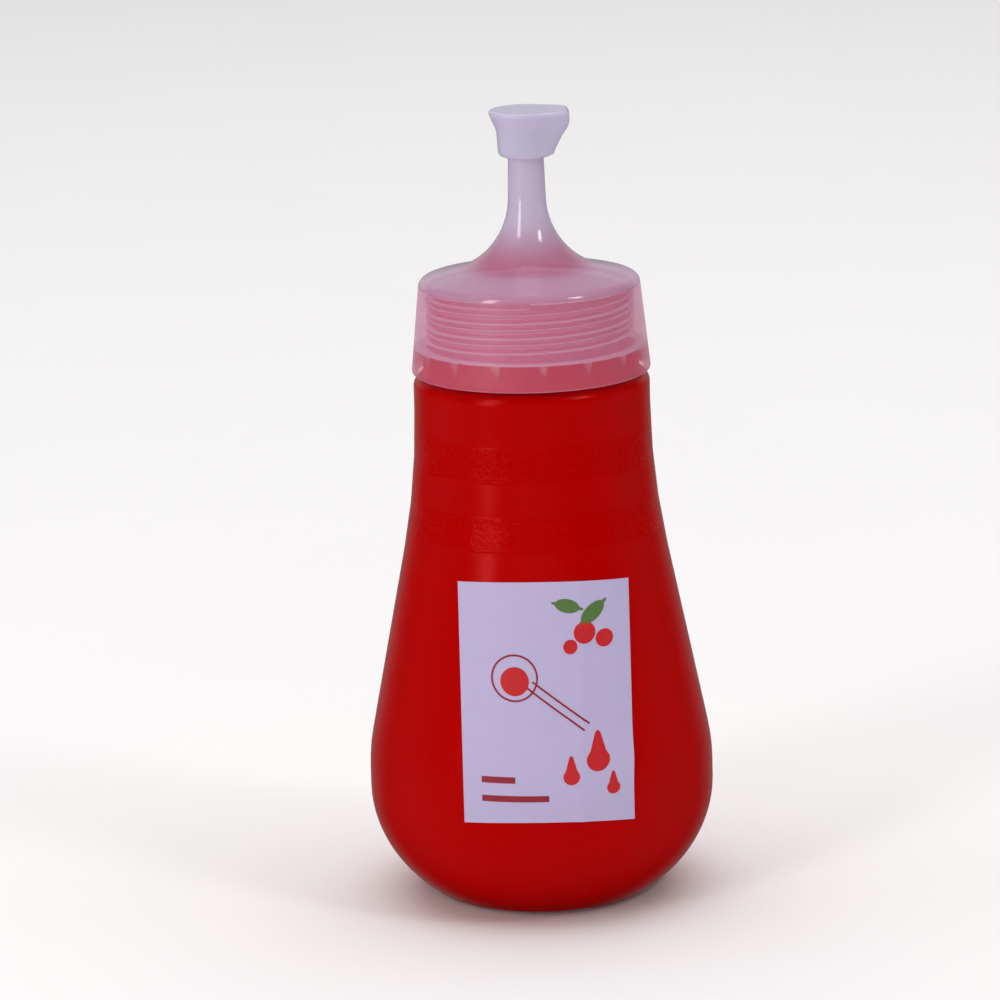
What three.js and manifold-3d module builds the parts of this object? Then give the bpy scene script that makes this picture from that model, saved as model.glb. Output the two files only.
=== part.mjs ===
// Squeeze sauce bottle with a milky nozzle cap, a small tip cap and a paper label.
// Millimetres, +Z up, the label faces -Y. The origin is the centre of the flat base.
import * as THREE from "three";
import { mergeVertices } from "three/addons/utils/BufferGeometryUtils.js";
import Module from "manifold-3d";

const wasm = await Module();
wasm.setup();

// Bottle: teardrop body on a flat base, straight collar, neck inside the cap.
const BASE_RADIUS = 26.8;
const BODY_RADIUS = 42.35;
const WIDEST_Z = 26.55;
const BELLY_CORNER_Z = 35.55;
const BELLY_ROUND = 47.3;
const WAIST_CORNER_Z = 103.55;
const WAIST_ROUND = 180;
const COLLAR_RADIUS = 28.7;
const SHOULDER_Z = 129.6;
const SHOULDER_ROUND = 3;
const NECK_RADIUS = 24.4;
const NECK_TOP_Z = 149.5;
const NECK_ROUND = 0.8;

// Nozzle cap: tapered skirt, sloped top, trumpet flare and a slim hollow nozzle.
const SKIRT_BOTTOM_Z = 129.95;
const SKIRT_BOTTOM_RADIUS = 29.05;
const SKIRT_EDGE_ROUND = 0.7;
const SKIRT_TOP_Z = 152.65;
const SKIRT_TOP_RADIUS = 26.7;
const TOP_EDGE_ROUND = 2.2;
const FLARE_FOOT_RADIUS = 13.8;
const FLARE_FOOT_Z = 153.9;
const FLARE_FOOT_ROUND = 16.9;
const FLARE_HEAD_RADIUS = 5.2;
const FLARE_HEAD_Z = 165.65;
const FLARE_HEAD_ROUND = 9.4;
const NOZZLE_TIP_RADIUS = 4.12;
const NOZZLE_TIP_Z = 188.7;
const CAP_WALL = 1.6;
const BORE_RADIUS = 2.7;

// Tip cap: flared cup pushed over the nozzle tip, with a lift lug on its +X side.
const TIP_BOTTOM_Z = 182.2;
const TIP_TOP_Z = 193.5;
const TIP_FOOT_RADIUS = 6.6;
const TIP_FOOT_ROUND = 1.4;
const TIP_WAIST_RADIUS = 6.95;
const TIP_WAIST_Z = 188.5;
const TIP_WAIST_ROUND = 5;
const TIP_RIM_RADIUS = 8.65;
const TIP_RIM_Z = 192.3;
const TIP_RIM_ROUND = 0.4;
const TIP_DISH_RADIUS = 7.4;
const TIP_DISH_DEPTH = 0.4;
const TIP_HOLE_RADIUS = 4.75;
const TIP_HOLE_Z = 189.5;
const LUG_REACH = 10.65;
const LUG_INNER = 5.4;
const LUG_WIDTH = 7.5;
const LUG_TOP_Z = 193.2;
const LUG_CORNER = 0.5;
const LUG_SIDE_Z = 190.3;
const LUG_BREAK_REACH = 9.5;
const LUG_BREAK_Z = 188.3;
const LUG_FOOT_REACH = 6.6;
const LUG_FOOT_Z = 182.5;

// Paper label: a near-rectangle that follows the belly, set slightly askew.
const LABEL_WIDTH = 43;
const LABEL_CENTRE = 1.5;
const LABEL_TOP_Z = 84.8;
const LABEL_BOTTOM_Z = 28.05;
const LABEL_DROOP = 1.1;
const LABEL_TILT = -0.019;
const LABEL_GAP = 0.3;
const LABEL_THICKNESS = 0.3;
const LABEL_COLUMNS = 14;
const LABEL_ROWS = 16;

// Facet counts.
const BOTTLE_SIDES = 64;
const CAP_SIDES = 48;
const TIP_SIDES = 32;
const HEEL_STEPS = 9;

// Points of a path in (radius, z) whose inner corners are rounded by the given radii.
function roundedPath(corners, rounds, stepAngle = 0.28) {
  const path = [];
  corners.forEach((corner, index) => {
    const here = new THREE.Vector2(...corner);
    const round = rounds[index];
    if (!round) {
      path.push(here);
      return;
    }
    const back = new THREE.Vector2(...corners[index - 1]).sub(here).normalize();
    const ahead = new THREE.Vector2(...corners[index + 1]).sub(here).normalize();
    const half = Math.acos(THREE.MathUtils.clamp(back.dot(ahead), -1, 1)) / 2;
    const centre = back.clone().add(ahead).normalize().multiplyScalar(round / Math.sin(half)).add(here);
    const start = back.clone().multiplyScalar(round / Math.tan(half)).add(here).sub(centre);
    const turn = (Math.PI - 2 * half) * Math.sign(ahead.cross(back));
    const steps = Math.max(2, Math.ceil(Math.abs(turn) / stepAngle));
    for (let step = 0; step <= steps; step += 1) {
      const spoke = start.clone().rotateAround(new THREE.Vector2(), (turn * step) / steps);
      path.push(spoke.add(centre));
    }
  });
  return path;
}

// Turn a (radius, z) path around the Z axis.
function turned(path, sides) {
  const geometry = new THREE.LatheGeometry(path, sides);
  geometry.rotateX(Math.PI / 2);
  return geometry;
}

// Closed solid for boolean work: shared vertices, no slivers on the axis.
function toSolid(geometry) {
  const bare = geometry.clone();
  bare.deleteAttribute("normal");
  bare.deleteAttribute("uv");
  const merged = mergeVertices(bare, 1e-4);
  const index = Array.from(merged.index.array);
  const triangles = [];
  for (let i = 0; i < index.length; i += 3) {
    const [a, b, c] = index.slice(i, i + 3);
    if (a !== b && b !== c && c !== a) {
      triangles.push(a, b, c);
    }
  }
  const mesh = new wasm.Mesh({
    numProp: 3,
    vertProperties: new Float32Array(merged.attributes.position.array),
    triVerts: new Uint32Array(triangles),
  });
  return new wasm.Manifold(mesh);
}

function fromSolid(solid) {
  const mesh = solid.getMesh();
  const geometry = new THREE.BufferGeometry();
  geometry.setAttribute("position", new THREE.BufferAttribute(new Float32Array(mesh.vertProperties), 3));
  geometry.setIndex(new THREE.BufferAttribute(new Uint32Array(mesh.triVerts), 1));
  geometry.computeVertexNormals();
  return geometry;
}

// Outer line of the body from the base edge up to the neck.
function bodyPath() {
  const heelAngle = Math.acos(BASE_RADIUS / BODY_RADIUS);
  const heelHeight = WIDEST_Z / Math.sin(heelAngle);
  const heel = [];
  for (let step = 0; step < HEEL_STEPS; step += 1) {
    const angle = heelAngle * (1 - step / HEEL_STEPS);
    heel.push(new THREE.Vector2(BODY_RADIUS * Math.cos(angle), WIDEST_Z - heelHeight * Math.sin(angle)));
  }
  heel[0].y = 0;
  const wall = roundedPath(
    [
      [BODY_RADIUS, WIDEST_Z],
      [BODY_RADIUS, BELLY_CORNER_Z],
      [COLLAR_RADIUS, WAIST_CORNER_Z],
      [COLLAR_RADIUS, SHOULDER_Z],
      [NECK_RADIUS, SHOULDER_Z],
      [NECK_RADIUS, NECK_TOP_Z],
      [0, NECK_TOP_Z],
    ],
    [0, BELLY_ROUND, WAIST_ROUND, SHOULDER_ROUND, 0, NECK_ROUND, 0],
    0.05,
  );
  return heel.concat(wall);
}

// The shoulder and neck corners need fewer steps than the long belly and waist rounds.
function thinned(path, smallest) {
  const kept = [path[0]];
  path.slice(1, -1).forEach((point) => {
    if (point.distanceTo(kept[kept.length - 1]) > smallest) {
      kept.push(point);
    }
  });
  kept.push(path[path.length - 1]);
  return kept;
}

function bottle() {
  const path = [new THREE.Vector2(0, 0)].concat(thinned(bodyPath(), 0.45));
  return turned(path, BOTTLE_SIDES);
}

// Radius of the body at a height, read off its outer line.
function bodyRadius(z) {
  const path = bodyPath();
  for (let i = 1; i < path.length; i += 1) {
    const low = path[i - 1];
    const high = path[i];
    if (high.y > low.y && z >= low.y && z <= high.y) {
      return THREE.MathUtils.lerp(low.x, high.x, (z - low.y) / (high.y - low.y));
    }
  }
  throw new Error("height is outside the body");
}

function nozzleCap() {
  const outer = roundedPath(
    [
      [SKIRT_BOTTOM_RADIUS - CAP_WALL, SKIRT_BOTTOM_Z],
      [SKIRT_BOTTOM_RADIUS, SKIRT_BOTTOM_Z],
      [SKIRT_TOP_RADIUS, SKIRT_TOP_Z],
      [FLARE_FOOT_RADIUS, FLARE_FOOT_Z],
      [FLARE_HEAD_RADIUS, FLARE_HEAD_Z],
      [NOZZLE_TIP_RADIUS, NOZZLE_TIP_Z],
      [BORE_RADIUS, NOZZLE_TIP_Z],
    ],
    [0, SKIRT_EDGE_ROUND, TOP_EDGE_ROUND, FLARE_FOOT_ROUND, FLARE_HEAD_ROUND, 0.4, 0],
    0.4,
  );
  const inner = roundedPath(
    [
      [BORE_RADIUS + 0.6, FLARE_HEAD_Z - CAP_WALL / 2],
      [FLARE_FOOT_RADIUS - CAP_WALL / 2, FLARE_FOOT_Z - CAP_WALL],
      [SKIRT_TOP_RADIUS - CAP_WALL, SKIRT_TOP_Z - CAP_WALL],
      [SKIRT_BOTTOM_RADIUS - CAP_WALL, SKIRT_BOTTOM_Z],
    ],
    [0, FLARE_FOOT_ROUND - CAP_WALL, 0.6, 0],
    0.4,
  );
  return turned(outer.concat(inner), CAP_SIDES);
}

// Lift lug: a block beside the rim on a web that slants down to the foot of the cup.
function liftLug() {
  const outline = new THREE.Shape([
    new THREE.Vector2(LUG_INNER, LUG_FOOT_Z),
    new THREE.Vector2(LUG_FOOT_REACH, LUG_FOOT_Z),
    new THREE.Vector2(LUG_BREAK_REACH, LUG_BREAK_Z),
    new THREE.Vector2(LUG_REACH, LUG_SIDE_Z),
    new THREE.Vector2(LUG_REACH, LUG_TOP_Z - LUG_CORNER),
    new THREE.Vector2(LUG_REACH - LUG_CORNER, LUG_TOP_Z),
    new THREE.Vector2(LUG_INNER, LUG_TOP_Z),
  ]);
  const lug = new THREE.ExtrudeGeometry(outline, { depth: LUG_WIDTH, bevelEnabled: false });
  lug.translate(0, 0, -LUG_WIDTH / 2);
  lug.rotateX(Math.PI / 2);
  return lug;
}

function tipCap() {
  const path = roundedPath(
    [
      [0, TIP_HOLE_Z],
      [TIP_HOLE_RADIUS, TIP_HOLE_Z],
      [TIP_HOLE_RADIUS, TIP_BOTTOM_Z],
      [TIP_FOOT_RADIUS, TIP_BOTTOM_Z],
      [TIP_WAIST_RADIUS, TIP_WAIST_Z],
      [TIP_RIM_RADIUS, TIP_RIM_Z],
      [TIP_RIM_RADIUS, TIP_TOP_Z],
      [TIP_DISH_RADIUS, TIP_TOP_Z],
      [TIP_DISH_RADIUS - TIP_DISH_DEPTH, TIP_TOP_Z - TIP_DISH_DEPTH],
      [0, TIP_TOP_Z - TIP_DISH_DEPTH],
    ],
    [0, 0, 0, TIP_FOOT_ROUND, TIP_WAIST_ROUND, 0, TIP_RIM_ROUND, 0, 0, 0],
    0.35,
  );
  const solid = toSolid(turned(path, TIP_SIDES)).add(toSolid(liftLug()));
  return fromSolid(solid);
}

// A point of the label: across and along run 0 to 1, out is the distance off the body.
function labelPoint(across, along, out) {
  const side = (across - 0.5) * LABEL_WIDTH;
  const droop = LABEL_DROOP * (2 * across - 1) ** 2;
  const z = THREE.MathUtils.lerp(LABEL_BOTTOM_Z, LABEL_TOP_Z, along) - droop + LABEL_TILT * side;
  const radius = bodyRadius(z);
  const angle = (side + LABEL_CENTRE) / radius;
  return [(radius + out) * Math.sin(angle), -(radius + out) * Math.cos(angle), z];
}

function label() {
  const positions = [];
  const index = [];
  const stride = LABEL_COLUMNS + 1;
  const layer = stride * (LABEL_ROWS + 1);
  [LABEL_GAP, LABEL_GAP + LABEL_THICKNESS].forEach((out) => {
    for (let row = 0; row <= LABEL_ROWS; row += 1) {
      for (let column = 0; column <= LABEL_COLUMNS; column += 1) {
        positions.push(...labelPoint(column / LABEL_COLUMNS, row / LABEL_ROWS, out));
      }
    }
  });
  const quad = (a, b, c, d) => index.push(a, b, c, a, c, d);
  for (let row = 0; row < LABEL_ROWS; row += 1) {
    for (let column = 0; column < LABEL_COLUMNS; column += 1) {
      const corner = row * stride + column;
      quad(corner, corner + stride, corner + stride + 1, corner + 1);
      const front = corner + layer;
      quad(front, front + 1, front + stride + 1, front + stride);
    }
  }
  const wall = (a, b) => quad(a, b, b + layer, a + layer);
  for (let column = 0; column < LABEL_COLUMNS; column += 1) {
    const top = LABEL_ROWS * stride + column;
    wall(column, column + 1);
    wall(top + 1, top);
  }
  for (let row = 0; row < LABEL_ROWS; row += 1) {
    const left = row * stride;
    const right = left + LABEL_COLUMNS;
    wall(left + stride, left);
    wall(right, right + stride);
  }
  const geometry = new THREE.BufferGeometry();
  geometry.setAttribute("position", new THREE.Float32BufferAttribute(positions, 3));
  geometry.setIndex(index);
  geometry.computeVertexNormals();
  return geometry;
}

function named(name, geometry, color, roughness) {
  const material = new THREE.MeshStandardMaterial({ color, roughness, metalness: 0 });
  const mesh = new THREE.Mesh(geometry, material);
  mesh.name = name;
  return mesh;
}

const sauceBottle = new THREE.Group();
sauceBottle.name = "sauce_bottle";
sauceBottle.add(named("bottle", bottle(), 0xad0403, 0.42));
sauceBottle.add(named("nozzle_cap", nozzleCap(), 0xd8c4d6, 0.3));
sauceBottle.add(named("tip_cap", tipCap(), 0xcbc1d6, 0.3));
sauceBottle.add(named("label", label(), 0xc6b6cf, 0.6));

export default sauceBottle;
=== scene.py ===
"""Squeeze sauce bottle: a red teardrop bottle, a milky nozzle cap, a tip cap and a paper label."""

import math

import bmesh
import bpy
from bpy.props import FloatProperty, FloatVectorProperty, IntProperty, PointerProperty
from mathutils import Matrix, Vector, noise


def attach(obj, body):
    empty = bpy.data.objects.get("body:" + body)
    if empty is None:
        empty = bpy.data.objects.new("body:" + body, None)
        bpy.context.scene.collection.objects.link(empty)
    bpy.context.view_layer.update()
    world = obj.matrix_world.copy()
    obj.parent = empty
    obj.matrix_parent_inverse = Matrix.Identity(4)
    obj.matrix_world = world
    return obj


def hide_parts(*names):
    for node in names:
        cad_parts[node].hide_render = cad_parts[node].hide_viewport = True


bl_info = {
    "name": "Squeeze sauce bottle",
    "version": (1, 0, 0),
    "blender": (4, 5, 0),
    "location": "View3D > Sidebar > Sauce bottle",
    "description": "Builds a squeeze sauce bottle with its cap, label and studio",
    "category": "Add Mesh",
}

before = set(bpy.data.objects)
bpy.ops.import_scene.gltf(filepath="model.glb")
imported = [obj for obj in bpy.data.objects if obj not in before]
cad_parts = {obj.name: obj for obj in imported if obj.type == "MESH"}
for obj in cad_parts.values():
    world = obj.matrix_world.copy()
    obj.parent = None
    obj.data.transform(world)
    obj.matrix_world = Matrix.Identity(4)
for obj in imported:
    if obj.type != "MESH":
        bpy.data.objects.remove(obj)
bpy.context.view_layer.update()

MM = 0.001
BODY = "root"

# How finely roundings are drawn.
SMALL_ROUND = 1 * MM
FINE_TURN = math.radians(5)
COARSE_TURN = math.radians(18)
# Points closer than this are one point.
TINY = 1e-6

# Roundings that several pieces share.
CRISP_EDGE = 0.3 * MM
PLAIN_EDGE = 0.4 * MM
SOFT_EDGE = 0.8 * MM

# Bottle details.
BODY_SIDES = 480
HEEL_STEPS = 26
BASE_ROUND = 6 * MM
BEAD_SLOPE = 1 * MM
GRIP_BANDS = ((91.5 * MM, 99.6 * MM), (107.9 * MM, 116.4 * MM))
BAND_EDGE = 0.3 * MM
BAND_STEP = 0.42 * MM
WALL_STEP = 2.6 * MM
GRAIN_SPACING = 0.75 * MM

# Nozzle cap details.
CAP_SIDES = 144
CAP_STEP = 2.0 * MM
FOOT_EDGE = 0.7 * MM
HEAD_EDGE = 2.2 * MM
CAP_WALL = 1.5 * MM
BORE_RADIUS = 2.7 * MM
SLEEVE_RADIUS = 25.2 * MM
SLEEVE_FOOT = 136.3 * MM
SKIRT_INNER_RADIUS = 27.45 * MM
CAP_INNER_TOP = 151.1 * MM
SLEEVE_CORNER = 0.8 * MM
# Height of its start, width and depth of each ridge of the thread.
THREADS = ((137.6 * MM, 2.1 * MM, 0.9 * MM), (139.4 * MM, 1.3 * MM, 0.8 * MM))
THREAD_TURNS = 3.5
THREAD_STEPS = 96
THREAD_CREST = 0.45
THREAD_BURY = 0.4 * MM
GUSSET_TURN = math.radians(5.4)
GUSSET_TOP = 2.4 * MM
GUSSET_FOOT = 0.5 * MM
GUSSET_HEIGHT = 4.3 * MM
GUSSET_THIN = 0.5
GUSSET_INSET = 0.3 * MM
GUSSET_BURY = 0.4 * MM

# Zones of the cap: the share of light that the wall stops, its roughness, its own colour and the
# colour of the red glow of the neck painted into it.
ZONES = (
    ("skirt", 0.6, 0.46, "plastic", "painted_glow"),
    ("crown", 0.86, 0.14, "plastic", "crown_painted_glow"),
    ("skirt_foot", 0.72, 0.46, "plastic", "foot_painted_glow"),
    ("inner_faces", 0.12, 0.4, "plastic", "painted_glow"),
    ("thread", 0.98, 0.4, "ribs", "ribs"),
    ("gussets", 0.98, 0.4, "ribs", "ribs"),
)
SKIRT, CROWN, SKIRT_FOOT, INNER_FACES, THREAD, GUSSETS = range(len(ZONES))
# Where one zone ends and the next begins; tilts are of a face's normal.
CROWN_FOOT = 151.2 * MM
FOOT_RING_TOP = 130.3 * MM
SLEEVE_FOOT_LOW = SLEEVE_FOOT - 0.2 * MM
SLEEVE_FOOT_HIGH = SLEEVE_FOOT + 0.3 * MM
CORNER_REACH = 0.9 * MM
ON_WALL = 0.1 * MM
FLANK_TILT = 0.35
DOWNWARD_TILT = -0.7

# Tip cap details.
TIP_SIDES = 144
TIP_STEP = 1.0 * MM
HOLE_RADIUS = 4.75 * MM
HOLE_TOP = 189.5 * MM
DISH_RADIUS = 7.2 * MM
DISH_DEPTH = 0.12 * MM
DISH_SLOPE = 0.3 * MM
RIM_EDGE = 0.6 * MM
TIP_FOOT_EDGE = 1.4 * MM
TIP_WAIST_ROUND = 5 * MM
LUG_ROOT = 1.5 * MM
LUG_HALF_TURN = math.radians(24)
LUG_BLEND_TURN = math.radians(62)
# Heights on the lift lug, and how far it reaches there.
LUG_PROFILE = (
    (182.9 * MM, 6.7 * MM),
    (184.3 * MM, 7.2 * MM),
    (185.8 * MM, 8.0 * MM),
    (187.3 * MM, 8.75 * MM),
    (188.7 * MM, 9.75 * MM),
    (189.5 * MM, 10.25 * MM),
    (190.6 * MM, 10.65 * MM),
    (192.5 * MM, 10.65 * MM),
    (193.6 * MM, 9.9 * MM),
)

# Label details.
LABEL_COLUMNS = 90
LABEL_ROWS = 120
LABEL_AHEAD = -70 * MM
LABEL_TILT = -0.019
LABEL_GAP = 0.06 * MM
PAPER_THICKNESS = 0.12 * MM
CREASE_TOP = 9.25 * MM
CREASE_FOOT = 7.7 * MM
CREASE_HEIGHT = 0.22 * MM
CREASE_WIDTH = 1.3 * MM
EDGE_LIFT = 0.45 * MM
EDGE_LIFT_HEIGHT = 41.6 * MM
EDGE_LIFT_WIDTH = 2.2 * MM
EDGE_LIFT_SPREAD = 4 * MM

# Label print details; the shares are of a motif's own length or radius.
INK_THICKNESS = 0.03 * MM
INK_STEP = 0.7 * MM
MOTIF_SIDES = 48
LEAF_OVAL = 0.75
LEAF_TIP_START = 0.368
LEAF_TIP_STRETCH = 1.3
DROP_NARROWING = 0.72
# From which height the top of a drop is drawn up, and how far.
DROP_DRAWS = ((0.35, 0.35), (0.8, 0.5), (1.3, 0.6))

# Patterns of the materials, in specks per metre.
WALL_PATCHES = 80.0
ETCHED_GRAIN = 1400.0
MOULD_RINGS = (30, 30, 1600)
FLOW_MARKS = 160.0
PAPER_MOTTLE = 200.0
PAPER_FIBRE = 2500.0
INK_SPECKS = 1400.0
FLOOR_MOTTLE = 12.0

# Red plastic: the share of grain off the bands, the level that is flat, and roughnesses.
FAINT_GRAIN = 0.06
GRAIN_LEVEL = 0.15
GRAIN_RANGE = (0.35, 0.65)
SPECK_ROUGHNESS = (0.08, 0.28)
SATIN_ROUGHNESS = (0.2, 0.28)

# Milky plastic: the share of light that it mirrors head on when solid, and its finish.
POLYETHYLENE_GLOSS = 0.041
MILKY_SHEEN = 0.5
GLOSSY_BELOW = 0.2
CLEAR_BELOW = 0.2
# Where the painted red glow of the neck begins in it, and where it is full.
SKIRT_GLOW = (153.2 * MM, 150.6 * MM)
FLARE_GLOW = (169 * MM, 155 * MM)
FLARE_GLOW_RADIUS = (25 * MM, 11 * MM)
PLATE_GLOW = (166 * MM, 154 * MM)
PLATE_GLOW_MOST = 0.62

# Stage details.
FLOOR_SIZE = 12
FLOOR_DROP = 0.1 * MM
# Each light's place as angle right of the camera, distance and height, its size and its power.
LIGHTS = (
    ("left_light", (-44, 1.25, 0.6), (0.3, 1.2), "left_power"),
    ("right_light", (57, 1.25, 1.2), (0.3, 0.4), "right_power"),
    ("front_fill", (0, 1.3, 0.25), (1.0, 0.6), "front_power"),
    ("left_fill", (-95, 1.3, 0.5), (1.0, 0.9), "side_power"),
    ("right_fill", (95, 1.3, 0.5), (1.0, 0.9), "side_power"),
    ("overhead_light", (180, 1.0, 2.5), (4.0, 4.0), "top_power"),
)
# These lift the shade and leave no highlight of their own.
PLAIN_LIGHTS = ("front_fill", "left_fill", "right_fill", "overhead_light")
LIGHT_AIM = Vector((0, 0, 90 * MM))
CAMERA_PLACE = Vector((-8.48, -1069.43, 354.95)) * MM
CAMERA_TIP = math.radians(13.54)
CAMERA_ROLL = math.radians(-1.6)
SENSOR_WIDTH = 36
CLIP_START = 0.01

# Sockets of the colour Mix node.
MIX_FACTOR, MIX_A, MIX_B, MIX_RESULT = 0, 6, 7, 2


def linear(hex_colour):
    """Turn an sRGB hex colour into linear red, green, blue and full alpha."""
    channels = [int(hex_colour[i : i + 2], 16) / 255 for i in (1, 3, 5)]
    return tuple(
        c / 12.92 if c <= 0.04045 else ((c + 0.055) / 1.055) ** 2.4 for c in channels
    ) + (1.0,)


def length(name, description, millimetres):
    """A length property whose default is given in millimetres."""
    return FloatProperty(
        name=name,
        description=description,
        default=millimetres * MM,
        unit="LENGTH",
        precision=5,
    )


def colour(name, description, hex_colour):
    """A colour property whose default is given as an sRGB hex value."""
    return FloatVectorProperty(
        name=name,
        description=description,
        default=linear(hex_colour),
        size=4,
        min=0.0,
        max=1.0,
        subtype="COLOR",
    )


def power(name, description, watts):
    """A lamp power property."""
    return FloatProperty(
        name=name, description=description, default=watts, min=0.0, unit="POWER"
    )


class SauceBottleSizes(bpy.types.PropertyGroup):
    """Sizes and colour of the red bottle."""

    base_radius: length("Base radius", "Radius of the flat base", 26.8)
    body_radius: length("Body radius", "Greatest radius of the belly", 42.35)
    widest: length("Widest height", "Height where the heel ends", 26.55)
    belly_corner: length("Belly corner", "Height of the corner above the belly", 35.55)
    belly_round: length("Belly rounding", "Rounding above the belly", 47.3)
    waist_corner: length("Waist corner", "Height of the corner under the collar", 103.55)
    waist_round: length("Waist rounding", "Rounding under the collar", 180.0)
    collar_radius: length("Collar radius", "Radius of the straight collar", 28.7)
    shoulder: length("Shoulder height", "Height of the flat shoulder", 129.6)
    shoulder_round: length("Shoulder rounding", "Rounding of the shoulder's edge", 3.0)
    neck_radius: length("Neck radius", "Radius of the neck inside the cap", 23.7)
    neck_top: length("Neck top", "Height of the neck's rim", 149.5)
    bead_radius: length("Bead radius", "Radius of the bead under the neck", 26.2)
    bead_top: length("Bead top", "Height of the bead's upper edge", 135.3)
    grain_depth: length("Grain depth", "Relief of the grain on the grip bands", 0.035)
    plastic: colour("Plastic", "Colour of the red plastic", "#B60000")
    # Painted light: a brighter red painted on the neck for the light that gathers inside the milky
    # cap.
    neck: colour("Neck", "Colour of the bright neck inside the cap", "#DC0808")


class SauceCapSizes(bpy.types.PropertyGroup):
    """Sizes and colours of the nozzle cap."""

    skirt_bottom: length("Skirt bottom", "Height of the skirt's lower edge", 129.95)
    foot_radius: length("Skirt foot radius", "Radius of the lower edge", 29.05)
    skirt_top: length("Skirt top", "Height of the skirt's upper edge", 152.65)
    head_radius: length("Skirt head radius", "Radius of the upper edge", 26.7)
    flare_radius: length("Flare radius", "Radius of the nozzle at the flare", 4.98)
    flare_height: length("Flare height", "Height where plate and nozzle would meet", 157.77)
    flare_round: length("Flare rounding", "Rounding from the plate into the nozzle", 18.46)
    nozzle_radius: length("Nozzle radius", "Radius of the nozzle's tip", 4.12)
    nozzle_top: length("Nozzle top", "Height of the nozzle's tip", 188.7)
    thread_pitch: length("Thread pitch", "Rise of the thread in one turn", 3.6)
    gussets: IntProperty(
        name="Gussets", description="Small ribs inside the skirt's foot", default=15, min=3
    )
    plastic: colour("Plastic", "Colour of the milky plastic", "#D8C8E5")
    ribs: colour("Ribs", "Colour of the thread and gussets inside the wall", "#F6EDFA")
    # Painted glow: these pinks paint in the red of the neck and bead seen through the milky wall;
    # the wall's alpha also lets some real red through.
    painted_glow: colour("Blush", "Colour of the skirt where the red neck lies behind it", "#DF84A7")
    crown_painted_glow: colour("Crown blush", "Colour of the flare's foot over the red neck", "#BA5C7E")
    foot_painted_glow: colour("Foot blush", "Colour of the thin foot of the skirt", "#CE5068")


class SauceTipSizes(bpy.types.PropertyGroup):
    """Sizes and colour of the tip cap."""

    bottom: length("Bottom", "Height of the lower edge", 182.2)
    top: length("Top", "Height of the rim", 193.5)
    foot_radius: length("Foot radius", "Radius at the lower edge", 6.6)
    waist_radius: length("Waist radius", "Radius where the flare begins", 6.95)
    waist: length("Waist", "Height where the flare begins", 188.6)
    rim_radius: length("Rim radius", "Radius of the rim", 8.65)
    rim: length("Rim", "Height of the rim's lower edge", 192.5)
    plastic: colour("Plastic", "Colour of the milky plastic", "#CAC3DD")


class SauceLabelSizes(bpy.types.PropertyGroup):
    """Sizes and colours of the label and its print."""

    width: length("Width", "Width of the label seen from the front", 40.7)
    centre: length("Centre", "Distance of its middle right of the axis", 1.3)
    bottom: length("Bottom", "Height of the lower edge", 28.05)
    top: length("Top", "Height of the upper edge", 84.8)
    droop: length("Droop", "Drop of the side edges where the sheet wraps", 1.1)
    paper: colour("Paper", "Colour of the paper", "#C0B5D9")
    red_ink: colour("Red ink", "Colour of the berries and drops", "#D0282C")
    dark_ink: colour("Dark ink", "Colour of the lines and bars", "#A02A3C")
    green_ink: colour("Green ink", "Colour of the leaves", "#5E7F46")


class SauceStageSettings(bpy.types.PropertyGroup):
    """Studio floor, lights and camera."""

    floor: colour("Floor", "Colour of the floor", "#F4F2F2")
    left_power: power("Left light", "Power of the tall light on the left", 5.7)
    right_power: power("Right light", "Power of the high light on the right", 3.7)
    front_power: power("Front fill", "Power of the soft fill in front", 3.5)
    side_power: power("Side fills", "Power of the soft fill on either side", 2.4)
    top_power: power("Top light", "Power of the overhead light", 95.0)
    world_strength: FloatProperty(
        name="Room light", description="Brightness of the wall behind", default=0.2, min=0.0
    )
    lens: FloatProperty(
        name="Lens", description="Focal length in millimetres", default=161.98, min=1.0
    )


def deselect_all():
    """Leave edit mode and clear the selection."""
    if bpy.context.mode != "OBJECT":
        bpy.ops.object.mode_set(mode="OBJECT")
    bpy.ops.object.select_all(action="DESELECT")


def make_active(piece):
    """Select one piece only."""
    deselect_all()
    piece.select_set(True)
    bpy.context.view_layer.objects.active = piece


def named(name):
    """Name the object that was just added, and its mesh."""
    piece = bpy.context.object
    piece.name = name
    piece.data.name = name
    return piece


def edit(piece, select="VERT"):
    """Open a piece in edit mode with all of it selected."""
    make_active(piece)
    bpy.ops.object.mode_set(mode="EDIT")
    bpy.ops.mesh.select_mode(type=select)
    bpy.ops.mesh.select_all(action="SELECT")


def select_where(piece, test):
    """In edit mode, select the vertices whose place passes a test."""
    bpy.ops.mesh.select_mode(type="VERT")
    bpy.ops.mesh.select_all(action="DESELECT")
    shape = bmesh.from_edit_mesh(piece.data)
    for vertex in shape.verts:
        vertex.select_set(test(vertex.co))
    shape.select_flush(True)
    bmesh.update_edit_mesh(piece.data)


def make_clean():
    """In edit mode, merge doubles and turn all faces outwards."""
    bpy.ops.mesh.select_all(action="SELECT")
    bpy.ops.mesh.remove_doubles(threshold=TINY)
    bpy.ops.mesh.normals_make_consistent(inside=False)
    bpy.ops.object.mode_set(mode="OBJECT")


def smooth_step(low, high, value):
    """Rise smoothly from 0 at low to 1 at high."""
    share = min(1.0, max(0.0, (value - low) / (high - low)))
    return share * share * (3 - 2 * share)


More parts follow.
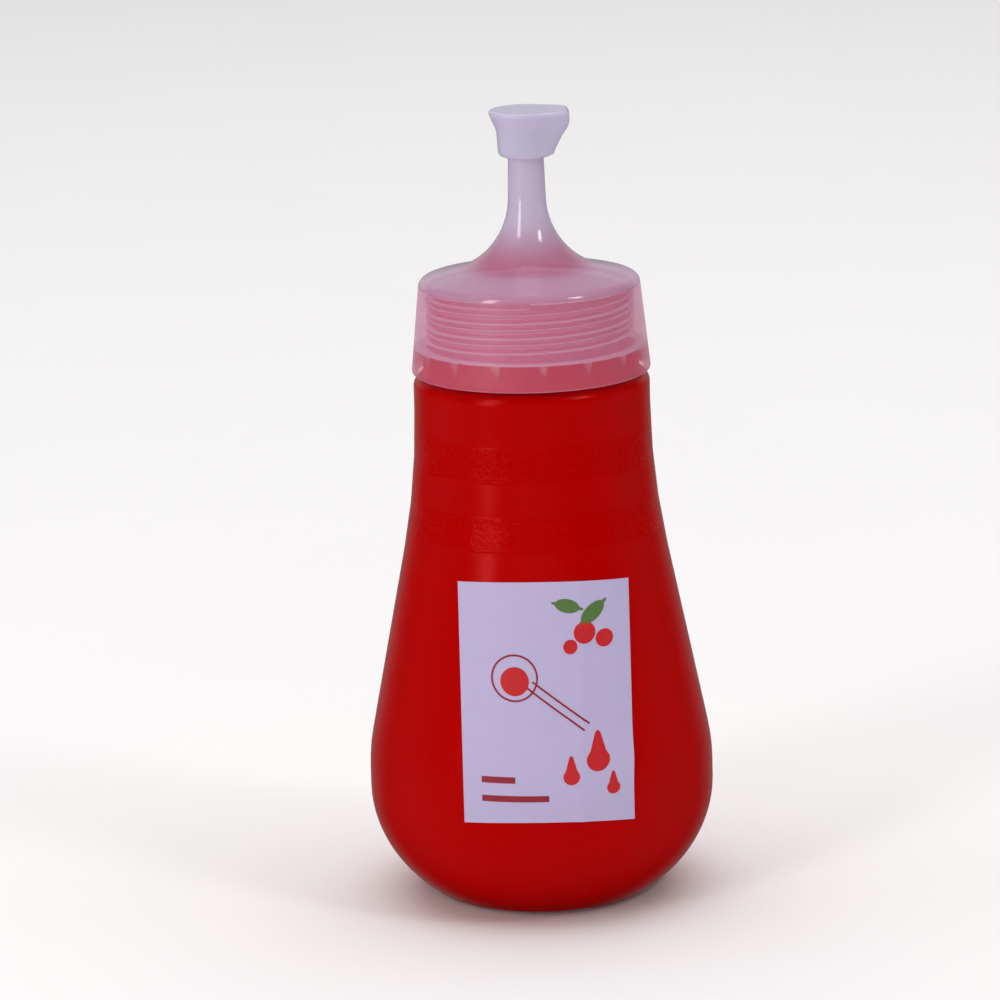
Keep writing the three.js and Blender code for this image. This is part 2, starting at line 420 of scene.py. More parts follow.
def rounded_path(corners):
    """Round the inner corners of a path given as (radius, height, rounding)."""
    points = [Vector(corners[0][:2])]
    for before, corner, after in zip(corners, corners[1:], corners[2:]):
        place = Vector(corner[:2])
        rounding = corner[2]
        if rounding == 0:
            points.append(place)
            continue
        back = (Vector(before[:2]) - place).normalized()
        ahead = (Vector(after[:2]) - place).normalized()
        half = back.angle(ahead) / 2
        middle = place + (back + ahead).normalized() * rounding / math.sin(half)
        first = place + back * rounding / math.tan(half) - middle
        last = place + ahead * rounding / math.tan(half) - middle
        start = math.atan2(first.y, first.x)
        sweep = math.atan2(last.y, last.x) - start
        sweep = (sweep + math.pi) % math.tau - math.pi
        turn = FINE_TURN if rounding > SMALL_ROUND else COARSE_TURN
        steps = max(2, math.ceil(abs(sweep) / turn))
        for i in range(steps + 1):
            angle = start + sweep * i / steps
            points.append(middle + rounding * Vector((math.cos(angle), math.sin(angle))))
    points.append(Vector(corners[-1][:2]))
    return points


def spaced(points, longest):
    """Divide a path's long steps; longest gives the greatest step at a height."""
    path = [points[0]]
    for point in points[1:]:
        while (point - path[-1]).length > TINY:
            rest = point - path[-1]
            step = longest(path[-1].y + TINY)
            count = math.ceil(rest.length / step - TINY)
            path.append(path[-1] + rest / count)
    return path


def turn_on_axis(name, path, sides):
    """Draw a path of (radius, height) out of one point and spin it about the axis."""
    deselect_all()
    bpy.ops.mesh.primitive_plane_add(size=1)
    piece = named(name)
    edit(piece)
    bpy.ops.mesh.merge(type="CENTER")
    bpy.ops.transform.translate(value=(path[0].x, 0, path[0].y))
    for here, there in zip(path, path[1:]):
        bpy.ops.mesh.extrude_region_move(
            TRANSFORM_OT_translate={"value": (there.x - here.x, 0, there.y - here.y)}
        )
    bpy.ops.mesh.select_all(action="SELECT")
    bpy.ops.mesh.spin(steps=sides, angle=math.tau, center=(0, 0, 0), axis=(0, 0, 1))
    make_clean()
    return piece


def apply_modifier(piece, kind, **settings):
    """Add one modifier with its settings and apply it."""
    make_active(piece)
    bpy.ops.object.modifier_add(type=kind)
    modifier = piece.modifiers[-1]
    for key, value in settings.items():
        setattr(modifier, key, value)
    bpy.ops.object.modifier_apply(modifier=modifier.name)


def unite(piece, other):
    """Unite another closed mesh with a piece, and remove the other."""
    apply_modifier(piece, "BOOLEAN", operation="UNION", solver="EXACT", object=other)
    bpy.data.objects.remove(other)
    edit(piece)
    make_clean()


def push_out(piece, rise):
    """Move each vertex along its normal by the rise that a function gives for its place."""
    normals = [vertex.normal.copy() for vertex in piece.data.vertices]
    for vertex, normal in zip(piece.data.vertices, normals):
        vertex.co += normal * rise(vertex.co)


def smooth(piece, degrees):
    """Shade a piece smooth, with sharp edges above an angle."""
    make_active(piece)
    bpy.ops.object.shade_smooth_by_angle(angle=math.radians(degrees))


def settle(piece, slot, *nodes):
    """Fix a finished piece to the body and hide the parts that it stands for; slot is not used."""
    deselect_all()
    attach(piece, BODY)
    for node_name in nodes:
        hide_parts(node_name)


def set_inputs(tree, node, inputs):
    """Set or link the inputs of a shader node."""
    for socket, value in inputs.items():
        if isinstance(value, bpy.types.NodeSocket):
            tree.links.new(value, node.inputs[socket])
        else:
            node.inputs[socket].default_value = value


def add_node(tree, kind, inputs, **settings):
    """Add a shader node with its settings and inputs."""
    added = tree.nodes.new(kind)
    for key, value in settings.items():
        setattr(added, key, value)
    set_inputs(tree, added, inputs)
    return added


def combined(tree, operation, first, second):
    """Two values combined by a Math node."""
    return add_node(
        tree, "ShaderNodeMath", {0: first, 1: second}, operation=operation
    ).outputs[0]


def mapped(tree, value, low, high, least=0.0, most=1.0, curve="LINEAR"):
    """A value mapped from the range low to high onto the range least to most."""
    return add_node(
        tree,
        "ShaderNodeMapRange",
        {"Value": value, "From Min": low, "From Max": high, "To Min": least, "To Max": most},
        interpolation_type=curve,
    ).outputs["Result"]


def speckled(tree, place, scale, detail):
    """A noise pattern."""
    return add_node(
        tree, "ShaderNodeTexNoise", {"Vector": place, "Scale": scale, "Detail": detail}
    ).outputs["Fac"]


def mixed(tree, share, first, second):
    """Two colours mixed: a share of 0 gives the first and 1 the second."""
    return add_node(
        tree,
        "ShaderNodeMix",
        {MIX_FACTOR: share, MIX_A: first, MIX_B: second},
        data_type="RGBA",
    ).outputs[MIX_RESULT]


def bumped(tree, height, strength, depth):
    """A Bump node that raises a pattern to a depth."""
    return add_node(
        tree, "ShaderNodeBump", {"Height": height, "Strength": strength, "Distance": depth}
    )


def new_material(name):
    """An empty node material, its Principled shader and its Object coordinates."""
    material = bpy.data.materials.new(name)
    material.use_nodes = True
    tree = material.node_tree
    shader = tree.nodes["Principled BSDF"]
    place = add_node(tree, "ShaderNodeTexCoord", {}).outputs["Object"]
    return material, tree, shader, place


def darker(tone, share):
    """A colour brought down to a share of its brightness."""
    return [channel * share for channel in tone[:3]] + [1.0]


def red_polyethylene(sizes):
    """Blow-moulded polyethylene: satin, a little wavy, with two etched grip bands."""
    material, tree, shader, place = new_material("red_polyethylene_blow_moulded")
    height = add_node(tree, "ShaderNodeSeparateXYZ", {"Vector": place}).outputs["Z"]
    masks = []
    for low, high in GRIP_BANDS:
        rise = mapped(tree, height, low - BAND_EDGE, low + BAND_EDGE, curve="SMOOTHSTEP")
        fall = mapped(tree, height, high + BAND_EDGE, high - BAND_EDGE, curve="SMOOTHSTEP")
        masks.append(combined(tree, "MULTIPLY", rise, fall))
    bands = combined(tree, "MAXIMUM", *masks)
    # The wall thickens and thins in soft patches about 12 mm across.
    patches = speckled(tree, place, WALL_PATCHES, 2.0)
    shade = mixed(tree, patches, sizes.plastic, darker(sizes.plastic, 0.93))
    satin = mapped(tree, patches, 0.0, 1.0, *SATIN_ROUGHNESS)
    # The mould's etched grain is about 0.7 mm across, and faint off the bands.
    grain = speckled(tree, place, ETCHED_GRAIN, 3.0)
    share = mapped(tree, bands, 0.0, 1.0, FAINT_GRAIN, 1.0)
    level = combined(tree, "SUBTRACT", grain, GRAIN_LEVEL)
    relief = combined(tree, "MULTIPLY", level, share)
    # It mixes bright and dull specks.
    specks = mapped(tree, grain, *GRAIN_RANGE, *SPECK_ROUGHNESS)
    rough = mapped(tree, bands, 0.0, 1.0, satin, specks)
    # Fine rings left by the mould's turning, about 0.6 mm apart, stretch the highlights upright.
    stretched = add_node(
        tree, "ShaderNodeVectorMath", {0: place, 1: MOULD_RINGS}, operation="MULTIPLY"
    ).outputs["Vector"]
    rings = speckled(tree, stretched, 1.0, 1.0)
    turned = bumped(tree, rings, 0.12, 0.1 * MM)
    etched = bumped(tree, relief, 1.0, 0.16 * MM)
    set_inputs(tree, etched, {"Normal": turned.outputs["Normal"]})
    # The neck's colour is painted brighter, a painted glow for the light that gathers between the
    # milky cap and the neck, so the neck reads brighter.
    neck = mapped(tree, height, sizes.shoulder - 0.1 * MM, sizes.shoulder + 0.2 * MM)
    set_inputs(
        tree,
        shader,
        {
            "Base Color": mixed(tree, neck, shade, sizes.neck),
            "Roughness": rough,
            "Normal": etched.outputs["Normal"],
            "Specular IOR Level": 0.38,
            "Specular Tint": (1.0, 0.14, 0.14, 1.0),
        },
    )
    return material


def milky_polyethylene(name, plastic, cover, roughness, painted_glow=None):
    """Injection-moulded natural polyethylene: cloudy, satin or glossy; red shows through, partly
    seen through the wall and partly painted in as a glow.
    """
    material, tree, shader, place = new_material(name)
    # Faint flow marks about 6 mm across.
    flow = speckled(tree, place, FLOW_MARKS, 2.0)
    shade = mixed(tree, flow, plastic, darker(plastic, 0.93))
    # Painted glow: the red of the neck behind the wall is painted into the colour, on top of the
    # red that the part-clear wall lets through.
    if painted_glow:
        shade = mixed(tree, painted_glow_mask(tree, place), shade, painted_glow)
    # A wall that stops only part of the light needs a higher index to keep its full gloss.
    mirror = math.sqrt(POLYETHYLENE_GLOSS / cover)
    look = {
        "Base Color": shade,
        "Roughness": mapped(tree, flow, 0.3, 0.7, roughness * 0.9, roughness * 1.1),
        "Normal": bumped(tree, flow, 0.1, 0.2 * MM).outputs["Normal"],
        "Alpha": cover,
        "IOR": (1 + mirror) / (1 - mirror),
    }
    if cover < CLEAR_BELOW:
        look["Specular IOR Level"] = 0.0
    else:
        # The cloudy wall turns pale where it is seen edge on.
        look["Sheen Weight"] = MILKY_SHEEN
        look["Sheen Roughness"] = 0.4
        look["Sheen Tint"] = plastic
    if roughness < GLOSSY_BELOW:
        # The moulded skin of the glossy zones catches small bright highlights.
        look["Coat Weight"] = 0.6
        look["Coat Roughness"] = 0.05
    if cover == 1:
        # Light spreads a few millimetres inside a solid wall.
        look["Subsurface Weight"] = 0.3
        look["Subsurface Scale"] = 4 * MM
        look["Subsurface Radius"] = (1.0, 0.8, 0.9)
    set_inputs(tree, shader, look)
    return material


def painted_glow_mask(tree, place):
    """How much painted red glow of the neck the milky wall gets: most on skirt and flare foot."""
    height = add_node(tree, "ShaderNodeSeparateXYZ", {"Vector": place}).outputs["Z"]
    level = add_node(
        tree, "ShaderNodeVectorMath", {0: place, 1: (1, 1, 0)}, operation="MULTIPLY"
    ).outputs["Vector"]
    radius = add_node(
        tree, "ShaderNodeVectorMath", {0: level}, operation="LENGTH"
    ).outputs["Value"]
    skirt = mapped(tree, height, *SKIRT_GLOW, curve="SMOOTHSTEP")
    flare = mapped(tree, height, *FLARE_GLOW, curve="SMOOTHSTEP")
    near = mapped(tree, radius, *FLARE_GLOW_RADIUS, curve="SMOOTHSTEP")
    plate = mapped(tree, height, *PLATE_GLOW, most=PLATE_GLOW_MOST, curve="SMOOTHSTEP")
    foot = combined(tree, "MULTIPLY", flare, near)
    ring = combined(tree, "MAXIMUM", foot, plate)
    return combined(tree, "MAXIMUM", skirt, ring)


def coated_paper(sizes):
    """Coated label paper: nearly matt, with a soft mottle and faint fibres."""
    material, tree, shader, place = new_material("coated_label_paper")
    # Cloudy mottle about 5 mm across, and paper fibres about 0.4 mm across.
    mottle = speckled(tree, place, PAPER_MOTTLE, 3.0)
    fibre = speckled(tree, place, PAPER_FIBRE, 2.0)
    set_inputs(
        tree,
        shader,
        {
            "Base Color": mixed(tree, mottle, sizes.paper, darker(sizes.paper, 0.94)),
            "Normal": bumped(tree, fibre, 0.15, 0.03 * MM).outputs["Normal"],
            "Roughness": 0.5,
            "Specular IOR Level": 0.25,
        },
    )
    return material


def printing_ink(name, tone):
    """A thin film of printing ink: nearly matt, and it dries a little uneven."""
    material, tree, shader, place = new_material(name)
    # Ink coverage varies in specks about 0.7 mm across.
    cover = speckled(tree, place, INK_SPECKS, 2.0)
    set_inputs(
        tree,
        shader,
        {
            "Base Color": mixed(tree, cover, tone, darker(tone, 0.8)),
            "Roughness": 0.45,
            "Specular IOR Level": 0.25,
        },
    )
    return material


def studio_paper(tone):
    """A roll of pale studio paper, matt with a very faint mottle about 80 mm across."""
    material, tree, shader, place = new_material("studio_floor_paper")
    mottle = speckled(tree, place, FLOOR_MOTTLE, 2.0)
    set_inputs(
        tree,
        shader,
        {
            "Base Color": mixed(tree, mottle, tone, darker(tone, 0.98)),
            "Roughness": 0.9,
            "Specular IOR Level": 0.0,
        },
    )
    return material


class SAUCE_OT_bottle(bpy.types.Operator):
    """Build the red teardrop bottle with its collar, neck and grip bands"""

    bl_idname = "sauce.bottle"
    bl_label = "Bottle"

    def execute(self, context):
        sizes = context.scene.sauce_bottle
        corners = [(0, 0, 0), (sizes.base_radius, 0, BASE_ROUND)]
        foot = math.acos(sizes.base_radius / sizes.body_radius)
        fall = sizes.widest / math.sin(foot)
        for i in range(1, HEEL_STEPS + 1):
            angle = foot * (1 - i / HEEL_STEPS)
            corners.append(
                (sizes.body_radius * math.cos(angle), sizes.widest - fall * math.sin(angle), 0)
            )
        corners += [
            (sizes.body_radius, sizes.belly_corner, sizes.belly_round),
            (sizes.collar_radius, sizes.waist_corner, sizes.waist_round),
            (sizes.collar_radius, sizes.shoulder, sizes.shoulder_round),
            (sizes.bead_radius, sizes.shoulder, CRISP_EDGE),
            (sizes.bead_radius, sizes.bead_top, SOFT_EDGE),
            (sizes.neck_radius, sizes.bead_top + BEAD_SLOPE, PLAIN_EDGE),
            (sizes.neck_radius, sizes.neck_top, SOFT_EDGE),
            (0, sizes.neck_top, 0),
        ]
        path = spaced(rounded_path(corners), self.step)
        piece = turn_on_axis("bottle_body", path, BODY_SIDES)
        push_out(piece, lambda place: self.grain(place) * sizes.grain_depth)
        smooth(piece, 35)
        piece.data.materials.append(red_polyethylene(sizes))
        settle(piece, "bottle_plastic", "bottle")
        return {"FINISHED"}

    @staticmethod
    def grain(place):
        """Relief of the etched grain, from -1 to 1, and none off the grip bands."""
        band = max(
            smooth_step(low - BAND_EDGE, low + BAND_EDGE, place.z)
            * (1 - smooth_step(high - BAND_EDGE, high + BAND_EDGE, place.z))
            for low, high in GRIP_BANDS
        )
        return band * noise.noise(place / GRAIN_SPACING) if band else 0.0

    @staticmethod
    def step(height):
        """The greatest step between rings, small on the grip bands."""
        inside = any(low - BAND_STEP <= height <= high for low, high in GRIP_BANDS)
        return BAND_STEP if inside else WALL_STEP


class SAUCE_OT_nozzle_cap(bpy.types.Operator):
    """Build the milky cap with its skirt, inner thread, gussets, flare and nozzle"""

    bl_idname = "sauce.nozzle_cap"
    bl_label = "Nozzle cap"

    def execute(self, context):
        sizes = context.scene.sauce_cap
        corners = [
            (SKIRT_INNER_RADIUS, sizes.skirt_bottom, 0),
            (sizes.foot_radius, sizes.skirt_bottom, FOOT_EDGE),
            (sizes.head_radius, sizes.skirt_top, HEAD_EDGE),
            (sizes.flare_radius, sizes.flare_height, sizes.flare_round),
            (sizes.nozzle_radius, sizes.nozzle_top, PLAIN_EDGE),
            (BORE_RADIUS, sizes.nozzle_top, CRISP_EDGE),
            (
                sizes.flare_radius - CAP_WALL,
                sizes.flare_height - CAP_WALL,
                sizes.flare_round + CAP_WALL,
            ),
            (SLEEVE_RADIUS, CAP_INNER_TOP, SLEEVE_CORNER),
            (SLEEVE_RADIUS, SLEEVE_FOOT, PLAIN_EDGE),
            (SKIRT_INNER_RADIUS, SLEEVE_FOOT, PLAIN_EDGE),
            (SKIRT_INNER_RADIUS, sizes.skirt_bottom, 0),
        ]
        path = spaced(rounded_path(corners), lambda height: CAP_STEP)
        piece = turn_on_axis("nozzle_cap_shell", path, CAP_SIDES)
        for start, wide, deep in THREADS:
            unite(piece, self.thread(sizes, start, wide, deep))
        unite(piece, self.gussets(sizes))
        smooth(piece, 30)
        # Each zone gets its plastic colour and its painted glow colour.
        for name, cover, rough, plastic, painted_glow in ZONES:
            piece.data.materials.append(
                milky_polyethylene(
                    f"milky_polyethylene_{name}",
                    getattr(sizes, plastic),
                    cover,
                    rough,
                    getattr(sizes, painted_glow),
                )
            )
        for face in piece.data.polygons:
            face.material_index = self.zone(face)
        settle(piece, "cap_plastic", "nozzle_cap")
        return {"FINISHED"}

    @staticmethod
    def zone(face):
        """The zone of the cap that a face belongs to."""
        place, normal = face.center, face.normal
        radius = math.hypot(place.x, place.y)
        outward = (normal.x * place.x + normal.y * place.y) / radius
        if place.z < SLEEVE_FOOT_LOW:
            if place.z < FOOT_RING_TOP:
                return SKIRT
            if radius < SKIRT_INNER_RADIUS - ON_WALL:
                return GUSSETS
            return SKIRT_FOOT if outward > 0 else INNER_FACES
        if radius < SLEEVE_RADIUS - ON_WALL and place.z < CAP_INNER_TOP - SLEEVE_CORNER:
            return THREAD if abs(normal.z) > FLANK_TILT else INNER_FACES
        if normal.z < DOWNWARD_TILT and place.z < SLEEVE_FOOT_HIGH:
            return THREAD
        if outward + normal.z < 0:
            corner = SLEEVE_RADIUS - CORNER_REACH < radius < SLEEVE_RADIUS + ON_WALL
            return THREAD if corner and place.z > CAP_INNER_TOP - CORNER_REACH else INNER_FACES
        return CROWN if place.z > CROWN_FOOT else SKIRT

    @staticmethod
    def thread(sizes, start, wide, deep):
        """A ridge that winds up the inside of the sleeve."""
        deselect_all()
        bpy.ops.mesh.primitive_plane_add(size=1, rotation=(math.pi / 2, 0, 0))
        ridge = named("thread_ridge")
        bpy.ops.object.transform_apply(rotation=True)
        edit(ridge)
        bpy.ops.mesh.delete(type="ONLY_FACE")
        bpy.ops.mesh.select_all(action="SELECT")
        bpy.ops.transform.resize(value=(deep + THREAD_BURY, 1, wide))
        middle = SLEEVE_RADIUS - (deep - THREAD_BURY) / 2
        bpy.ops.transform.translate(value=(middle, 0, start))
        select_where(ridge, lambda place: place.x < middle)
        bpy.ops.transform.resize(
            value=(1, 1, THREAD_CREST), center_override=(middle, 0, start)
        )
        bpy.ops.mesh.select_all(action="SELECT")
        bpy.ops.transform.rotate(value=-math.pi / 2, orient_axis="Z", center_override=(0, 0, 0))
        apply_modifier(
            ridge,
            "SCREW",
            angle=math.tau * THREAD_TURNS,
            screw_offset=sizes.thread_pitch * THREAD_TURNS,
            steps=round(THREAD_STEPS * THREAD_TURNS),
            render_steps=round(THREAD_STEPS * THREAD_TURNS),
        )
        edit(ridge)
        bpy.ops.mesh.fill_holes(sides=0)
        make_clean()
        return ridge

    @staticmethod
    def gussets(sizes):
        """A ring of wedge ribs under the sleeve, wide at the top."""
        deselect_all()
        bpy.ops.mesh.primitive_cone_add(
            vertices=4,
            radius1=GUSSET_FOOT * math.sqrt(0.5),
            radius2=GUSSET_TOP * math.sqrt(0.5),
            depth=GUSSET_HEIGHT,
            rotation=(0, 0, math.pi / 4),
        )
        ribs = named("gusset_ribs")
        bpy.ops.object.transform_apply(rotation=True)
        edit(ribs)
        bpy.ops.transform.resize(value=(1, GUSSET_THIN, 1))
        ring = SKIRT_INNER_RADIUS - GUSSET_INSET
        middle = SLEEVE_FOOT - GUSSET_HEIGHT / 2 + GUSSET_BURY
        place = (ring * math.sin(GUSSET_TURN), -ring * math.cos(GUSSET_TURN), middle)
        bpy.ops.transform.translate(value=place)
        bpy.ops.transform.rotate(value=GUSSET_TURN, orient_axis="Z", center_override=place)
        others = sizes.gussets - 1
        bpy.ops.mesh.spin(
            steps=others,
            dupli=True,
            angle=math.tau * others / sizes.gussets,
            center=(0, 0, 0),
            axis=(0, 0, 1),
        )
        make_clean()
        return ribs


class SAUCE_OT_tip_cap(bpy.types.Operator):
    """Build the flared tip cap with its dished top and lift lug"""

    bl_idname = "sauce.tip_cap"
    bl_label = "Tip cap"

    def execute(self, context):
        sizes = context.scene.sauce_tip
        dish = sizes.top - DISH_DEPTH
        corners = [
            (0, HOLE_TOP, 0),
            (HOLE_RADIUS, HOLE_TOP, CRISP_EDGE),
            (HOLE_RADIUS, sizes.bottom, CRISP_EDGE),
            (sizes.foot_radius, sizes.bottom, TIP_FOOT_EDGE),
            (sizes.waist_radius, sizes.waist, TIP_WAIST_ROUND),
            (sizes.rim_radius, sizes.rim, RIM_EDGE),
            (sizes.rim_radius, sizes.top, RIM_EDGE),
            (DISH_RADIUS, sizes.top, CRISP_EDGE),
            (DISH_RADIUS - DISH_SLOPE, dish, CRISP_EDGE),
            (0, dish, 0),
        ]
        path = spaced(rounded_path(corners), lambda height: TIP_STEP)
        piece = turn_on_axis("tip_cap_cup", path, TIP_SIDES)
        self.draw_lug(piece)
        smooth(piece, 40)
        piece.data.materials.append(
            milky_polyethylene("milky_polyethylene_tip", sizes.plastic, 1.0, 0.1)
        )
        settle(piece, "tip_plastic", "tip_cap")
        return {"FINISHED"}

    @staticmethod
    def draw_lug(piece):
        """Draw the cup's right side out to a lift lug that runs down into the foot."""
        for vertex in piece.data.vertices:
            place = vertex.co
            turn = abs(math.atan2(place.y, place.x))
            share = 1 - smooth_step(LUG_HALF_TURN, LUG_BLEND_TURN, turn)
            share *= smooth_step(HOLE_RADIUS, HOLE_RADIUS + LUG_ROOT, place.xy.length)
            for (low, near), (high, far) in zip(LUG_PROFILE, LUG_PROFILE[1:]):
                if low <= place.z < high:
                    reach = near + (far - near) * (place.z - low) / (high - low)
                    place.x += share * max(0.0, reach - place.x)


class SAUCE_OT_label(bpy.types.Operator):
    """Lay the paper label on the belly, with its soft crease and lifted edge"""

    bl_idname = "sauce.label"
    bl_label = "Label"

    def execute(self, context):
        sizes = context.scene.sauce_label
        tall = sizes.top - sizes.bottom
        deselect_all()
        bpy.ops.mesh.primitive_grid_add(
            x_subdivisions=LABEL_COLUMNS,
            y_subdivisions=LABEL_ROWS,
            size=1,
            rotation=(math.pi / 2, 0, 0),
        )
        piece = named("label_sheet")
        bpy.ops.object.transform_apply(rotation=True)
        edit(piece)
        bpy.ops.transform.resize(value=(sizes.width, 1, tall))
        bpy.ops.transform.translate(
            value=(sizes.centre, LABEL_AHEAD, sizes.bottom + tall / 2)
        )
        bpy.ops.object.mode_set(mode="OBJECT")
        half = sizes.width / 2
        for vertex in piece.data.vertices:
            side = vertex.co.x - sizes.centre
            vertex.co.z += LABEL_TILT * side - sizes.droop * (side / half) ** 2
        lay_on(piece, bpy.data.objects["bottle_body"], LABEL_GAP)
        push_out(piece, lambda place: self.rise(place, sizes))
        apply_modifier(piece, "SOLIDIFY", thickness=PAPER_THICKNESS, offset=1)
        smooth(piece, 40)
        piece.data.materials.append(coated_paper(sizes))
        settle(piece, "label_paper", "label")
        return {"FINISHED"}

    @staticmethod
    def rise(place, sizes):
        """How far the sheet stands off the bottle at a place."""
        share = (place.z - sizes.bottom) / (sizes.top - sizes.bottom)
        crease = sizes.centre + CREASE_FOOT + (CREASE_TOP - CREASE_FOOT) * share
        ridge = CREASE_HEIGHT * math.exp(-(((place.x - crease) / CREASE_WIDTH) ** 2))
        edge = sizes.centre + sizes.width / 2
        curl = smooth_step(edge - EDGE_LIFT_WIDTH, edge, place.x)
        curl *= math.exp(-(((place.z - EDGE_LIFT_HEIGHT) / EDGE_LIFT_SPREAD) ** 2))
        return ridge + EDGE_LIFT * curl


def lay_on(piece, target, gap):
    """Press a flat sheet that stands in front straight back onto a surface."""
    apply_modifier(
        piece,
        "SHRINKWRAP",
        target=target,
        wrap_method="PROJECT",
        wrap_mode="ABOVE_SURFACE",
        use_project_y=True,
        use_positive_direction=True,
        use_negative_direction=False,
        offset=gap,
    )


class SAUCE_OT_label_print(bpy.types.Operator):
    """Print plain motifs on the label: a berry sprig, a ladle, drops and two bars"""

    bl_idname = "sauce.label_print"
    bl_label = "Label print"

    def execute(self, context):
        sizes = context.scene.sauce_label
        red = printing_ink("red_printing_ink", sizes.red_ink)
        dark = printing_ink("dark_red_printing_ink", sizes.dark_ink)
        green = printing_ink("green_printing_ink", sizes.green_ink)
        shapes = [
            self.leaf(11.5, 20.5, 9.0, 3.6, 40, green),
            self.leaf(5.5, 22.5, 8.0, 3.2, 165, green),
            self.disc(9.5, 16.0, 2.6, red),
            self.disc(14.2, 14.2, 2.1, red),
            self.disc(6.0, 12.9, 1.7, red),
            self.ring(-7.5, 6.0, 5.6, 0.45, dark),
            self.bar(2.2, -1.6, 17.0, 0.45, -38, dark),
            self.bar(3.4, -0.1, 17.0, 0.45, -38, dark),
            self.disc(-7.5, 5.2, 3.4, red),
            self.drop(12.0, -14.0, 2.8, red),
            self.drop(5.5, -17.5, 2.0, red),
            self.drop(15.5, -21.0, 1.6, red),
            self.bar(-12.0, -18.0, 8.0, 1.5, 0, dark),
            self.bar(-8.0, -22.5, 16.0, 1.5, 0, dark),
        ]
        deselect_all()
        for shape in shapes:
            shape.select_set(True)
        bpy.context.view_layer.objects.active = shapes[0]
        bpy.ops.object.transform_apply(location=True, rotation=True, scale=True)
        bpy.ops.object.join()
        piece = named("label_print")
        edit(piece)
        bpy.ops.transform.translate(
            value=(sizes.centre, LABEL_AHEAD, (sizes.top + sizes.bottom) / 2)
        )
        self.slice(piece, sizes)
        bpy.ops.object.mode_set(mode="OBJECT")
        lay_on(piece, bpy.data.objects["label_sheet"], INK_THICKNESS)
        apply_modifier(piece, "SOLIDIFY", thickness=INK_THICKNESS, offset=1)
        smooth(piece, 40)
        settle(piece, "label_paper")
        return {"FINISHED"}

    @staticmethod
    def slice(piece, sizes):
        """Cut the flat shapes into narrow strips, so that they follow the curved paper."""
        for low, tall, normal in (
            (sizes.centre - sizes.width / 2, sizes.width, (1, 0, 0)),
            (sizes.bottom, sizes.top - sizes.bottom, (0, 0, 1)),
        ):
            for i in range(1, math.floor(tall / INK_STEP)):
                bpy.ops.mesh.select_all(action="SELECT")
                bpy.ops.mesh.bisect(
                    plane_co=Vector(normal) * (low + i * INK_STEP), plane_no=normal
                )

    @staticmethod
    def disc(across, up, radius, ink):
        """A filled circle."""
        deselect_all()
        bpy.ops.mesh.primitive_circle_add(
            vertices=MOTIF_SIDES,
            radius=radius * MM,
            fill_type="NGON",
            location=(across * MM, 0, up * MM),
            rotation=(math.pi / 2, 0, 0),
        )
        shape = bpy.context.object
        shape.data.materials.append(ink)
        return shape

    @classmethod
    def ring(cls, across, up, radius, line, ink):
        """A thin circle line."""
        shape = cls.disc(across, up, radius, ink)
        edit(shape, "FACE")
        bpy.ops.mesh.inset(thickness=line * MM)
        bpy.ops.mesh.delete(type="FACE")
        bpy.ops.object.mode_set(mode="OBJECT")
        return shape

    @classmethod
    def leaf(cls, across, up, long, wide, turn, ink):
        """A flattened circle drawn out to two points."""
        shape = cls.disc(across, up, wide / 2, ink)
        edit(shape)
        middle = (across * MM, 0, up * MM)
        bpy.ops.transform.resize(
            value=(LEAF_OVAL * long / wide, 1, 1), center_override=middle
        )
        select_where(shape, lambda place: abs(place.x) > LEAF_TIP_START * long * MM)
        bpy.ops.transform.resize(value=(LEAF_TIP_STRETCH, 1, 1), center_override=middle)
        bpy.ops.object.mode_set(mode="OBJECT")
        shape.rotation_euler.y = -math.radians(turn)
        return shape

    @classmethod
    def drop(cls, across, up, radius, ink):
        """A circle with its top drawn up to a point."""
        shape = cls.disc(across, up, radius, ink)
        edit(shape)
        for share, rise in DROP_DRAWS:
            select_where(shape, lambda place: place.y > share * radius * MM)
            bpy.ops.transform.translate(value=(0, 0, rise * radius * MM))
            bpy.ops.transform.resize(
                value=(DROP_NARROWING, 1, 1), center_override=(across * MM, 0, up * MM)
            )
        bpy.ops.object.mode_set(mode="OBJECT")
        return shape

    @staticmethod
    def bar(across, up, wide, tall, turn, ink):
        """A plain rectangle."""
        deselect_all()
        bpy.ops.mesh.primitive_plane_add(
            size=1,
            location=(across * MM, 0, up * MM),
            rotation=(math.pi / 2, -math.radians(turn), 0),
        )
        shape = bpy.context.object
        shape.scale = (wide * MM, tall * MM, 1)
        shape.data.materials.append(ink)
        return shape


